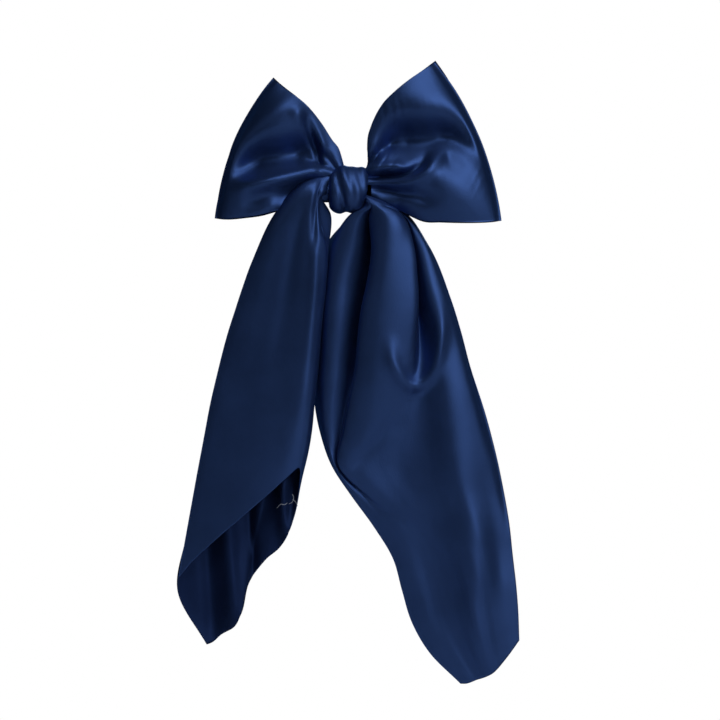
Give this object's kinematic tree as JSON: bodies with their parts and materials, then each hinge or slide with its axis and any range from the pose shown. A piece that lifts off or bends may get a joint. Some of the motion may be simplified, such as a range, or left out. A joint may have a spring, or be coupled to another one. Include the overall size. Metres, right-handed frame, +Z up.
{
  "type": "hair bow",
  "caption": "Long-tailed satin hair bow: two puffed loops, a wrapped knot and two wide hanging tails, sewn to an arched spring barrette.",
  "frame": {"origin": "middle of the barrette plate's rear face, straight behind the knot, where the bow sits on the hair", "axes": "+X across the bow to the viewer's right, +Y to the back into the hair, +Z up, tails hanging down"},
  "size_m": [0.1718, 0.0521, 0.3115],
  "materials": {
    "satin": "heavy navy satin",
    "thread": "navy sewing thread",
    "felt": "pressed dark felt",
    "plated_steel": "nickel-plated, satin",
    "spring_steel": "bright spring steel"
  },
  "bodies": {
    "root": {"left_loop": "satin", "right_loop": "satin", "bow_waist": "satin", "gathering_thread": "thread", "tail_head": "satin", "knot_wrap": "satin", "wrap_stitches": "thread", "backing_pad": "felt", "clip_stitches": "thread", "barrette_plate": "plated_steel", "hinge_pin": "plated_steel", "tension_bar_rivet": "plated_steel", "catch_base": "plated_steel", "catch_rivet": "plated_steel"},
    "left_fall": {"left_tail": "satin"},
    "right_fall": {"right_tail": "satin"},
    "arm": {"barrette_arm": "plated_steel"},
    "tension_leaf": {"tension_bar": "spring_steel"},
    "upper_prong": {"upper_catch_prong": "spring_steel"},
    "lower_prong": {"lower_catch_prong": "spring_steel"}
  },
  "joints": [
    {"name": "right_tail_swing", "type": "hinge", "parent": "root", "child": "right_fall", "pos_m": [0, -0.016, -0.0205], "axis": [-1, 0, 0], "range_deg": [0, 50]},
    {"name": "left_tail_swing", "type": "hinge", "parent": "root", "child": "left_fall", "pos_m": [0, -0.016, -0.0205], "axis": [-1, 0, 0], "range_deg": [0, 50]},
    {"name": "arm_hinge", "type": "hinge", "parent": "root", "child": "arm", "pos_m": [-0.038, 0.01493, 0], "axis": [0, 0, 1], "range_deg": [0, 75]},
    {"name": "tension_bar_flex", "type": "hinge", "parent": "root", "child": "tension_leaf", "pos_m": [-0.033, 0.00305, 0], "axis": [0, 0, -1], "range_deg": [0, 1.8], "stiffness_Nm_per_rad": 0.5},
    {"name": "upper_prong_pinch", "type": "hinge", "parent": "root", "child": "upper_prong", "pos_m": [0.0365, 0.00539, 0.0027], "axis": [-1, 0, 0], "range_deg": [0, 6], "stiffness_Nm_per_rad": 0.05},
    {"name": "lower_prong_pinch", "type": "hinge", "parent": "root", "child": "lower_prong", "pos_m": [0.0365, 0.00539, -0.0027], "axis": [1, 0, 0], "range_deg": [0, 6], "stiffness_Nm_per_rad": 0.05}
  ],
  "couplings": [
    {"joint": "left_tail_swing", "follows": "right_tail_swing", "ratio": 1},
    {"joint": "lower_prong_pinch", "follows": "upper_prong_pinch", "ratio": 1}
  ]
}
